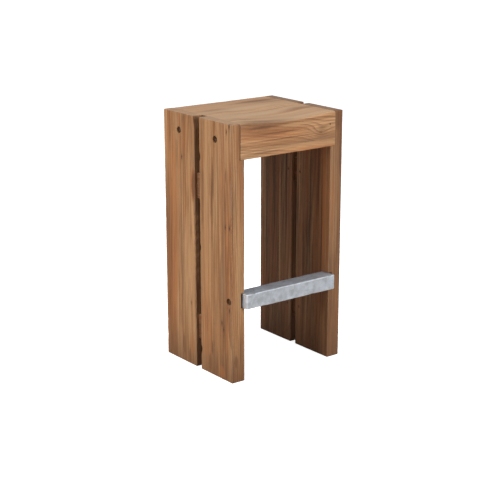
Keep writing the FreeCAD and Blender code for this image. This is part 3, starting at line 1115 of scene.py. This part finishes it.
def teak(name, grain, shift, pith, lean=(0.02, 0.01, 0), waviness=0.014, figure=0.5, streaks=0.65,
         tint=(1, 1, 1), bulge=None, marks=(), wear=0.3, bleach_and_sheen=0.6, end_dark_and_shade=0.35, worn=None,
         gap=None, gap_shade=0.5):
    """A teak finish: solid grain, worn edges, end grain (darker still on shaded planks, as painted shade),
    tops paled by sun and by a painted sheen, painted shade beside a gap, and stains at marks, each a centre,
    a size, a core, a strength and the stain's colour."""
    colours, sizes = settings("colours"), settings("timber")
    material, tree, inputs, place = new_material(name)
    values = {
        "Vector": along_z(tree, place, grain, shift), "Pith": pith, "Lean": lean, "Waviness": waviness,
        "Ring Spacing": sizes.ring_spacing, "Figure": figure, "Streaks": streaks}
    for label, value in (("Pale", colours.pale), ("Honey", colours.honey), ("Umber", colours.umber),
                         ("Rust", colours.rust), ("Ash", colours.ash)):
        values[label] = [part * share for part, share in zip(value, (*tint, 1))]
    if bulge:
        values["Bulge"] = bulge(tree, place)
    colour_out, height, streak = placed_group(tree, grain_group(), values)
    # End grain is darkened: the wood's own darker end grain, and on the shaded planks a stronger amount as
    # painted shade.
    ends = facing(tree, grain, 0.75, 0.95)
    end_grain = [(ash + umber) / 2 for ash, umber in zip(colours.ash, colours.umber)]
    colour_out = stained(tree, colour_out, end_grain, ends, end_dark_and_shade)
    # Painted sheen: up-facing faces are mixed towards a paler colour, standing for sun-paled wood and light
    # glancing off the tops.
    patchy = times(tree, spread(tree, streak, 1.9, -0.1), bleach_and_sheen)
    top = maths(tree, "MULTIPLY", facing(tree, Z, 0.55, 0.95), patchy, clamp=True)
    colour_out = mixed(tree, top, colour_out, colours.bleached_sheen)
    rubbed = placed_group(tree, wear_group(), {"Vector": place, "Scale": 70.0, "Amount": wear})[0]
    colour_out = mixed(tree, rubbed, colour_out, worn or colours.pale)
    for centre, size, core, amount, stain in marks:
        mask = placed_group(tree, spot_group(), {
            "Vector": place, "Centre": centre, "Size": size, "Core": core,
            "Raggedness": min(4 * MM, 0.8 * min(size))})[0]
        colour_out = stained(tree, colour_out, stain, mask, amount)
    # Painted shade: the faces beside the gap between two planks are darkened, where little light gets in.
    if gap is not None:
        depth = placed_group(tree, spot_group(), {
            "Vector": place, "Centre": (0, gap, 0), "Size": (9, 0.020, 9), "Core": 0.7, "Raggedness": MM})[0]
        gap_shade_mask = times(tree, depth, facing(tree, Y, 0.35, 0.85))
        colour_out = stained(tree, colour_out, colours.umber, gap_shade_mask, gap_shade)
    tree.links.new(colour_out, inputs["Base Color"])
    tree.links.new(spread(tree, streak, 0.72, 0.52), inputs["Roughness"])
    inputs["Specular IOR Level"].default_value = 0.32
    bumped(tree, inputs, height, 0.5 * MM, 0.55)
    return material


def grain_shift(seed):
    """Moves each timber to its own part of the pattern."""
    return seed * 0.71, seed * 0.37, seed * 0.53


PLANK_PITHS = {
    "front_left": (0.10, -0.035, 0), "front_right": (-0.09, 0.05, 0),
    "rear_left": (0.12, 0.07, 0), "rear_right": (-0.12, -0.02, 0)}
# Tints of the planks' wood. The right planks' lower tints are painted shade, for the side away from the
# lights.
PLANK_TINTS_AND_SHADE = {
    "front_left": (0.93, 0.88, 0.83), "front_right": (0.84, 0.80, 0.79),
    "rear_left": (0.95, 0.91, 0.87), "rear_right": (0.76, 0.74, 0.78)}


def plank_teak(key, seed, low, high):
    """An upright plank's finish, with iron stains at its old nail holes."""
    colours = settings("colours")
    # The shaded right planks carry painted shade: a lower tint, darker end grain and a less paled top; their
    # gap is darkened less.
    shaded = "right" in key
    outer = high[X] if shaded else low[X]
    marks = []
    for height, forward in NAIL_HOLES[key]:
        centre = (outer, low[Y] + forward * MM, height * MM)
        marks.append((centre, (0.02, 0.0036, 0.011), 0.2, 0.8, colours.stain))
        marks.append((centre, (0.02, 0.009, 0.034), 0.0, 0.35, colours.umber))
    marks += plank_streaks(key, low, high)
    gap_y = low[Y] if "rear" in key else high[Y]
    shift = grain_shift(seed)
    middle = np.array(((low[X] + high[X]) / 2, low[Y] + 0.07, 0))
    centre = tuple(np.array(PLANK_PITHS[key]) + np.array(shift) + middle)
    return teak("Teak plank " + key.replace("_", " "), Z, shift, centre, (0.03, 0.02, 0), figure=0.46,
                tint=PLANK_TINTS_AND_SHADE[key], marks=marks, wear=0.45, bleach_and_sheen=0.1 if shaded else 0.5,
                end_dark_and_shade=0.75 if shaded else 0.3, worn=colours.ash, gap=gap_y,
                gap_shade=0.2 if shaded else 0.5)


# Long streaks on the planks, by face: place across it, height, half width, half length,
# strength and colour.
STREAKS = {
    "front_left": {
        "outer": (
            (-0.064, 0.541, 0.0045, 0.060, 0.60, "umber"),
            (-0.121, 0.572, 0.0035, 0.026, 0.55, "umber"),
            (-0.141, 0.515, 0.0030, 0.070, 0.60, "ash"),
            (-0.112, 0.330, 0.0160, 0.330, 0.35, "umber"),
            (-0.096, 0.240, 0.0030, 0.150, 0.45, "umber"),
            (-0.030, 0.420, 0.0150, 0.300, 0.45, "pale"),
            (-0.048, 0.140, 0.0050, 0.090, 0.40, "rust"),
            (-0.018, 0.610, 0.0060, 0.070, 0.35, "rust"),
            (-0.056, 0.078, 0.0050, 0.026, 0.60, "umber"),
            (-0.044, 0.030, 0.0080, 0.040, 0.50, "umber"),
            (-0.020, 0.075, 0.0100, 0.035, 0.45, "rust"),
            (-0.100, 0.020, 0.0160, 0.024, 0.45, "rust")),
        "front": (
            (-0.187, 0.440, 0.0030, 0.130, 0.60, "umber"),
            (-0.168, 0.330, 0.0070, 0.240, 0.45, "pale"),
            (-0.176, 0.060, 0.0080, 0.024, 0.55, "umber"),
            (-0.160, 0.090, 0.0040, 0.060, 0.40, "umber"),
            (-0.153, 0.540, 0.0040, 0.090, 0.45, "rust"))},
    "rear_left": {
        "outer": (
            (0.030, 0.522, 0.0160, 0.062, 0.70, "rust"),
            (0.026, 0.520, 0.0130, 0.055, 0.75, "umber"),
            (0.086, 0.360, 0.0022, 0.340, 0.55, "umber"),
            (0.122, 0.420, 0.0260, 0.330, 0.40, "rust"),
            (0.150, 0.330, 0.0090, 0.360, 0.40, "umber"),
            (0.056, 0.250, 0.0200, 0.230, 0.50, "pale"),
            (0.100, 0.180, 0.0040, 0.120, 0.40, "umber"),
            (0.070, 0.640, 0.0120, 0.060, 0.35, "rust"),
            (0.080, 0.050, 0.0080, 0.040, 0.45, "umber"),
            (0.040, 0.060, 0.0120, 0.040, 0.40, "rust"))},
    "front_right": {
        "inner": (
            # Partly painted light: this broad warm band over the front part of the inner face stands for rust
            # colour and light reaching in at the front.
            (-0.110, 0.40, 0.0420, 0.38, 0.38, "rust"),
            (-0.140, 0.42, 0.0060, 0.30, 0.80, "rust"),
            (-0.122, 0.46, 0.0100, 0.30, 0.90, "rust"),
            (-0.114, 0.35, 0.0034, 0.28, 0.85, "umber"),
            (-0.098, 0.52, 0.0060, 0.15, 0.70, "umber"),
            (-0.084, 0.30, 0.0060, 0.20, 0.90, "rust"),
            (-0.064, 0.42, 0.0050, 0.24, 0.80, "umber"),
            (-0.048, 0.50, 0.0050, 0.16, 0.80, "rust"),
            (-0.036, 0.24, 0.0070, 0.22, 0.70, "umber"),
            (-0.016, 0.50, 0.0045, 0.14, 0.80, "pale")),
        "outer": (
            (-0.110, 0.40, 0.0040, 0.26, 0.50, "umber"),
            (-0.045, 0.30, 0.0160, 0.24, 0.40, "rust")),
        "front": (
            (0.168, 0.700, 0.0400, 0.055, 0.50, "umber"),
            (0.182, 0.610, 0.0050, 0.110, 0.55, "umber"),
            (0.158, 0.440, 0.0050, 0.150, 0.60, "rust"),
            (0.171, 0.380, 0.0050, 0.110, 0.55, "pale"),
            (0.187, 0.330, 0.0040, 0.170, 0.50, "umber"),
            (0.168, 0.080, 0.0400, 0.130, 0.35, "umber"),
            # Painted shade: this broad umber mark darkens the whole front face of the right front plank.
            (0.168, 0.400, 0.0400, 0.450, 0.36, "umber"))},
    "rear_right": {
        "inner": (
            (0.044, 0.46, 0.0060, 0.24, 0.80, "umber"),
            (0.073, 0.32, 0.0050, 0.30, 0.85, "pale"),
            (0.098, 0.48, 0.0080, 0.20, 0.65, "umber"),
            (0.114, 0.40, 0.0040, 0.28, 0.80, "rust"),
            (0.134, 0.36, 0.0060, 0.28, 0.65, "umber")),
        "outer": (
            (0.060, 0.44, 0.0050, 0.20, 0.45, "umber"),
            (0.118, 0.26, 0.0180, 0.22, 0.40, "pale"))},
}


def by_face(table):
    return [(face, streak) for face, streaks in table.items() for streak in streaks]


def plank_streaks(key, low, high):
    """A plank's streaks as marks, after the damp stain round its foot."""
    colours = settings("colours")
    rising, falling = ("inner", "outer") if "right" in key else ("outer", "inner")
    face_x = {rising: low[X], falling: high[X]}
    marks = [((0, 0, 0), (9, 9, 0.11), 0.0, 0.45, colours.umber)]
    for face, (place, height, width, run, amount, stain) in by_face(STREAKS[key]):
        centre, size = (place, low[Y], height), (width, 0.02, run)
        if face != "front":
            centre, size = (face_x[face], place, height), (0.02, width, run)
        marks.append((centre, size, 0.45, amount, getattr(colours, stain)))
    return marks


KNOT = ((0.110, 0.6575), (0.023, 0.015))      # centre and half size on the seat's front


def knot_bulge(tree, place):
    """Pushes the rings round the knot on the seat's front."""
    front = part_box("seat_beam_front")[0][Y]
    offset = vector_maths(tree, "SUBTRACT", place, (KNOT[0][0], front, KNOT[0][1]))
    offset = vector_maths(tree, "DIVIDE", offset, (KNOT[1][0] * 1.5, 0.06, KNOT[1][1] * 1.6))
    reach = length_of(tree, offset)
    falling = maths(tree, "EXPONENT", times(tree, times(tree, reach, reach), -1.0))
    return times(tree, falling, 0.013)


# Streaks on the seat beams, by face: place along the seat, place across the face, half
# length, half width, strength and colour.
# The pale streaks on the tops use the paler top colour, which stands for sun-paled wood with a painted sheen.
SEAT_STREAKS = {
    "front": {
        "top": (
            (-0.085, -0.146, 0.150, 0.0090, 0.55, "umber"),
            (0.030, -0.122, 0.170, 0.0130, 0.80, "bleached_sheen"),
            (-0.110, -0.094, 0.130, 0.0070, 0.45, "umber"),
            (0.070, -0.060, 0.170, 0.0100, 0.50, "rust"),
            (-0.020, -0.034, 0.180, 0.0200, 0.90, "bleached_sheen"),
            (0.050, -0.008, 0.200, 0.0060, 0.45, "umber"),
            (-0.070, -0.128, 0.130, 0.0240, 0.55, "umber"),
            (0.115, -0.050, 0.100, 0.0260, 0.50, "umber")),
        "front": (
            (-0.090, 0.692, 0.075, 0.0050, 0.65, "umber"),
            (-0.030, 0.674, 0.120, 0.0034, 0.60, "umber"),
            (0.030, 0.690, 0.080, 0.0060, 0.75, "pale"),
            (-0.060, 0.646, 0.130, 0.0055, 0.45, "honey"),
            (0.000, 0.656, 0.160, 0.0028, 0.60, "umber"),
            (-0.080, 0.626, 0.090, 0.0040, 0.50, "umber"),
            (0.040, 0.632, 0.120, 0.0060, 0.75, "pale"))},
    "rear": {
        "top": (
            (0.085, 0.112, 0.160, 0.0090, 0.55, "umber"),
            (0.130, 0.080, 0.140, 0.0080, 0.45, "umber"),
            (-0.020, 0.052, 0.180, 0.0220, 0.90, "bleached_sheen"),
            (-0.110, 0.126, 0.140, 0.0080, 0.45, "rust"),
            (-0.020, 0.148, 0.200, 0.0070, 0.40, "umber"),
            (-0.060, 0.022, 0.180, 0.0060, 0.40, "umber"),
            (0.095, 0.110, 0.110, 0.0320, 0.60, "umber"),
            (-0.100, 0.060, 0.090, 0.0220, 0.40, "umber"))},
}


def seat_streaks(row_name, low, high):
    colours = settings("colours")
    marks = []
    for face, (along, across, run, width, amount, stain) in by_face(SEAT_STREAKS[row_name]):
        centre, size, core = (along, across, high[Z]), (run, width, 0.06), 0.05
        if face == "front":
            centre, size, core = (along, low[Y], across), (run, 0.01, width), 0.3
        marks.append((centre, size, core, amount, getattr(colours, stain)))
    return marks


def seat_teak(row_name, seed):
    """A seat beam's finish: broad figure along the seat, and the front beam's knot."""
    colours = settings("colours")
    low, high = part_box("seat_beam_" + row_name)
    shift = grain_shift(seed)
    middle = np.array(((low[Y] + high[Y]) / 2, (low[Z] + high[Z]) / 2, 0))
    streaks = seat_streaks(row_name, low, high)
    streaks += [((end, 0, 0), (0.0024, 9, 9), 0.2, 0.85, colours.grime) for end in (low[X], high[X])]
    # Both seat beams are tinted paler than the planks (tints above 1), partly as painted sheen.
    if row_name == "front":
        centre = (KNOT[0][0], low[Y], KNOT[0][1])
        marks = [
            (centre, (0.030, 0.03, 0.019), 0.3, 0.22, colours.umber),
            (centre, (0.008, 0.02, 0.005), 0.2, 0.50, colours.umber),
            ((0.143, low[Y], 0.676), (0.004, 0.01, 0.004), 0.3, 0.80, colours.stain)]
        pith = middle + shift + (0.10, -0.09, 0)
        return teak("Teak seat front", X, shift, tuple(pith), (0.09, 0.07, 0), 0.020, 0.60, 0.5,
                    (1.11, 1.11, 1.14), knot_bulge, marks + streaks)
    pith = middle + shift + (-0.03, -0.14, 0)
    return teak("Teak seat rear", X, shift, tuple(pith), (0.06, -0.05, 0), 0.020, 0.55, 0.5,
                (1.10, 1.05, 1.0), None, streaks)


def joint_teak(name, grain):
    """The plainer wood of tenons, pegs, dowels and the core."""
    title = "Teak " + name
    ready = bpy.data.materials.get(title)
    return ready or teak(title, grain, (1.3, 2.9, 0.7), (1.38, 2.95, 0), figure=0.35, tint=(0.46, 0.37, 0.34))


def galvanised_sheet():
    """Hot-dipped sheet: mottled blue-grey, bright along its folds as rubbed zinc and a painted highlight."""
    colours = settings("colours")
    material, tree, inputs, place = new_material("Galvanised sheet")
    blotch, speck = placed_group(tree, patina_group(), {"Vector": place, "Scale": 34.0})
    cells = add(tree, "ShaderNodeTexVoronoi", {"Vector": place, "Scale": 95.0, "Randomness": 1.0})
    flake = add(tree, "ShaderNodeSeparateXYZ", {0: cells.outputs["Color"]}).outputs[0]
    drawn = cloud(tree, scaled(tree, place, 0.12, 1, 1), 260.0, 3.0)
    body = mixed(tree, blotch, colours.zinc_dull, colours.zinc)
    body = stained(tree, body, colours.zinc_bright_glint, flake, 0.35)
    body = stained(tree, body, colours.zinc_dull, speck, 0.30)
    body = mixed(tree, fade(tree, drawn, 0.58, 0.80), body, colours.zinc_dull)
    # Rubbed folds and painted highlight: the sheet's edges are mixed towards bright zinc.
    worn = placed_group(tree, wear_group(), {"Vector": place, "Scale": 90.0, "Amount": 0.85})[0]
    body = mixed(tree, worn, body, colours.zinc_bright_glint)
    tree.links.new(body, inputs["Base Color"])
    tree.links.new(spread(tree, plus(tree, blotch, flake), 0.58, 0.44), inputs["Roughness"])
    inputs["Metallic"].default_value = 0.45
    bumped(tree, inputs, plus(tree, times(tree, blotch, 0.6), drawn), 0.3 * MM, 0.5)
    return material


def dark_steel():
    """Dark oxidised steel with a brown bloom."""
    ready = bpy.data.materials.get("Dark steel")
    if ready:
        return ready
    colours = settings("colours")
    material, tree, inputs, place = new_material("Dark steel")
    blotch, speck = placed_group(tree, patina_group(), {"Vector": place, "Scale": 180.0})
    body = mixed(tree, blotch, colours.steel, colours.steel_rust)
    body = stained(tree, body, colours.steel, speck, 0.5)
    tree.links.new(body, inputs["Base Color"])
    tree.links.new(spread(tree, blotch, 0.45, 0.75), inputs["Roughness"])
    tree.links.new(spread(tree, blotch, 0.9, 0.35), inputs["Metallic"])
    bumped(tree, inputs, plus(tree, blotch, speck), 0.15 * MM, 0.6)
    return material


# Studio --------------------------------------------------------------------

def studio_axes():
    """Unit vectors to the camera's back, its right and its top."""
    studio = settings("studio")
    turn, rise = studio.azimuth, studio.elevation
    back = Vector((math.sin(turn) * math.cos(rise), -math.cos(turn) * math.cos(rise), math.sin(rise)))
    right = Vector((math.cos(turn), math.sin(turn), 0))
    return back, right, back.cross(right)


def build_camera():
    studio = settings("studio")
    back, right, top = studio_axes()
    middle = Vector((0, 0, CAD_BOX[1][Z] / 2))
    camera = bpy.data.objects.new("Camera", bpy.data.cameras.new("Camera"))
    camera.data.lens = studio.focal
    camera.data.sensor_width = 36
    camera.matrix_world = Matrix((right, top, back)).transposed().to_4x4()
    camera.location = middle + back * studio.distance + right * studio.slide_right + top * studio.slide_up
    put_in_scene(camera)
    bpy.context.scene.camera = camera


def soft_light(name, place, size, power, aim):
    light = bpy.data.objects.new(name, bpy.data.lights.new(name, "AREA"))
    light.data.shape = "RECTANGLE"
    light.data.size, light.data.size_y = size
    light.data.energy = power
    light.location = place
    light.rotation_euler = (Vector(place) - Vector(aim)).to_track_quat("Z", "Y").to_euler()
    put_in_scene(light)


def build_floor():
    studio, colours = settings("studio"), settings("colours")
    reach = 30
    corners = [(-reach, -reach, 0), (reach, -reach, 0), (reach, reach, 0), (-reach, reach, 0)]
    floor = new_piece("Floor", corners, [(0, 1, 2, 3)])
    material, tree, inputs, _ = new_material("Studio floor")
    inputs["Roughness"].default_value = 0.9
    inputs["Specular IOR Level"].default_value = 0.1
    inputs["Emission Color"].default_value = (1, 1, 1, 1)
    seen = add(tree, "ShaderNodeLightPath").outputs["Is Camera Ray"]
    tree.links.new(mixed(tree, seen, colours.floor_bounce, colours.floor), inputs["Base Color"])
    tree.links.new(times(tree, seen, studio.floor_glow), inputs["Emission Strength"])
    floor.data.materials.append(material)


def build_world():
    studio = settings("studio")
    world = bpy.data.worlds.new("Studio air")
    world.use_nodes = True
    tree = world.node_tree
    seen = add(tree, "ShaderNodeLightPath").outputs["Is Camera Ray"]
    level = plus(tree, studio.ambient, times(tree, seen, 1 - studio.ambient))
    background = tree.nodes["Background"]
    tree.links.new(mixed(tree, seen, (0.94, 1.0, 1.12, 1), (1, 1, 1, 1)), background.inputs["Color"])
    tree.links.new(level, background.inputs["Strength"])
    bpy.context.scene.world = world


# Operators -----------------------------------------------------------------

TACK_HEAD_RADIUS = 2.5 * MM
TACK_COUNT = 7
AIM = (0, 0, 0.38)            # the lights point at the stool's middle
LIGHTS = (                    # name, place, width and height, and which power
    ("Left light", (-3.3, -0.1, 1.3), (1.2, 1.8), "left_power"),
    ("Front light", (0.45, -3.3, 1.3), (1.2, 1.8), "front_power"),
    ("Top light", (0.0, 0.3, 3.2), (2.0, 2.0), "top_power"))


class STOOL_OT_planks(bpy.types.Operator):
    """Build the four upright planks"""

    bl_idname = "stool.planks"
    bl_label = "Upright planks"

    def execute(self, context):
        for seed, (side, row_name) in enumerate((s, r) for s in SIDES for r in ROWS):
            build_plank(side, row_name, 3.0 + 7 * seed)
        return {"FINISHED"}


class STOOL_OT_seat(bpy.types.Operator):
    """Build the seat's two beams and the dowels between them"""

    bl_idname = "stool.seat"
    bl_label = "Seat"

    def execute(self, context):
        for seed, row_name in enumerate(ROWS):
            build_beam(row_name, 17.0 + 5 * seed)
        low, high = span("seat_dowels")
        radius = (high[Z] - low[Z]) / 2
        pattern = peg_pattern("dowel pattern", high[Y] - low[Y], radius, 48, 12)
        step = (high[X] - low[X] - 2 * radius) / 2
        copies("seat_dowel_pins", pattern, joint_teak("dowel", Y), "joint_teak", "seat_dowels",
               Count=3, Start=(low[X] + radius, low[Y], low[Z] + radius), Step=(step, 0.0, 0.0),
               Turn=(0.0, 0.0, math.pi / 2), Spin=1.0, Seed=5)
        return {"FINISHED"}


class STOOL_OT_footrest(bpy.types.Operator):
    """Build the footrest: its core, its sheet and its tacks"""

    bl_idname = "stool.footrest"
    bl_label = "Footrest"

    def execute(self, context):
        build_core()
        build_sleeve()
        low, high = span("footrest_tacks")
        radius, count = TACK_HEAD_RADIUS, TACK_COUNT
        pattern = tack_pattern(high[Z] - low[Z], radius)
        step = (high[X] - low[X] - 2 * radius) / (count - 1)
        copies("footrest_tack_row", pattern, dark_steel(), "dark_steel", "footrest_tacks",
               Count=count, Start=(low[X] + radius, low[Y] + radius, low[Z]), Step=(step, 0.0, 0.0),
               Stagger=(0.0, high[Y] - low[Y] - 2 * radius, 0.0), Turn=(0.0, -math.pi / 2, 0.0),
               Spin=1.0, Seed=8)
        return {"FINISHED"}


class STOOL_OT_joints(bpy.types.Operator):
    """Build the loose tenons and the pegs through them"""

    bl_idname = "stool.joints"
    bl_label = "Tenons and pegs"

    def execute(self, context):
        for side, sign in SIDES.items():
            for level in LEVELS:
                build_tenon(level, side)
                node = "pegs_" + level + "_" + side
                rods = rods_in(node, 2)
                run = rods[0][1][X] - rods[0][0][X]
                pattern = peg_pattern("peg pattern", run, rods[0][2], 24, 0)
                row_of_rods("peg_pins_" + level + "_" + side, pattern, joint_teak("peg", X), "joint_teak",
                            node, rods, sign, 3.0, 11)
        return {"FINISHED"}


class STOOL_OT_fasteners(bpy.types.Operator):
    """Build the coach screws and their washers"""

    bl_idname = "stool.fasteners"
    bl_label = "Coach screws and washers"

    def execute(self, context):
        metal = settings("metal")
        for side, sign in SIDES.items():
            rods = washers(side)
            for group, chosen in (("seat_screws_", rods[:2]), ("footrest_screw_", rods[2:])):
                node = group + side
                low, high = span(node)
                pattern = screw_pattern(high[X] - low[X] - metal.head_height)
                row_of_rods("coach_" + node, pattern, dark_steel(), "dark_steel", node, chosen, -sign, 3.0,
                            21 + sign)
            for group, chosen in (("seat_washers_", rods[:2]), ("footrest_washer_", rods[2:])):
                start, end, radius = chosen[0]
                pattern = washer_pattern(end[X] - start[X], radius, metal.washer_bore / 2)
                row_of_rods("plain_" + group + side, pattern, dark_steel(), "dark_steel", group + side,
                            chosen, sign, 3.0, 31)
        return {"FINISHED"}


class STOOL_OT_studio(bpy.types.Operator):
    """Build the floor, the lights and the camera"""

    bl_idname = "stool.studio"
    bl_label = "Studio"

    def execute(self, context):
        for name, place, size, power in LIGHTS:
            soft_light(name, place, size, getattr(settings("studio"), power), AIM)
        build_floor()
        build_world()
        build_camera()
        bpy.context.scene.view_settings.view_transform = "Standard"
        return {"FINISHED"}


OPERATORS = (
    STOOL_OT_planks, STOOL_OT_seat, STOOL_OT_footrest, STOOL_OT_joints, STOOL_OT_fasteners,
    STOOL_OT_studio)


class STOOL_PT_panel(bpy.types.Panel):
    """The stool's settings and build steps"""

    bl_label = "Plank Bar Stool"
    bl_space_type = "VIEW_3D"
    bl_region_type = "UI"
    bl_category = "Stool"

    def draw(self, context):
        for name, group in GROUPS.items():
            box = self.layout.box()
            box.label(text=group.__doc__)
            for label in group.__annotations__:
                box.prop(getattr(context.scene, name), label)
        for operator in OPERATORS:
            self.layout.operator(operator.bl_idname)


def register():
    for name, group in GROUPS.items():
        bpy.utils.register_class(group)
        setattr(bpy.types.Scene, name, bpy.props.PointerProperty(type=group))
    for operator in OPERATORS:
        bpy.utils.register_class(operator)
    bpy.utils.register_class(STOOL_PT_panel)


def unregister():
    bpy.utils.unregister_class(STOOL_PT_panel)
    for operator in reversed(OPERATORS):
        bpy.utils.unregister_class(operator)
    for name, group in reversed(GROUPS.items()):
        delattr(bpy.types.Scene, name)
        bpy.utils.unregister_class(group)


def main():
    register()
    bpy.ops.stool.planks()
    bpy.ops.stool.seat()
    bpy.ops.stool.footrest()
    bpy.ops.stool.joints()
    bpy.ops.stool.fasteners()
    bpy.ops.stool.studio()


if __name__ == "__main__":
    main()
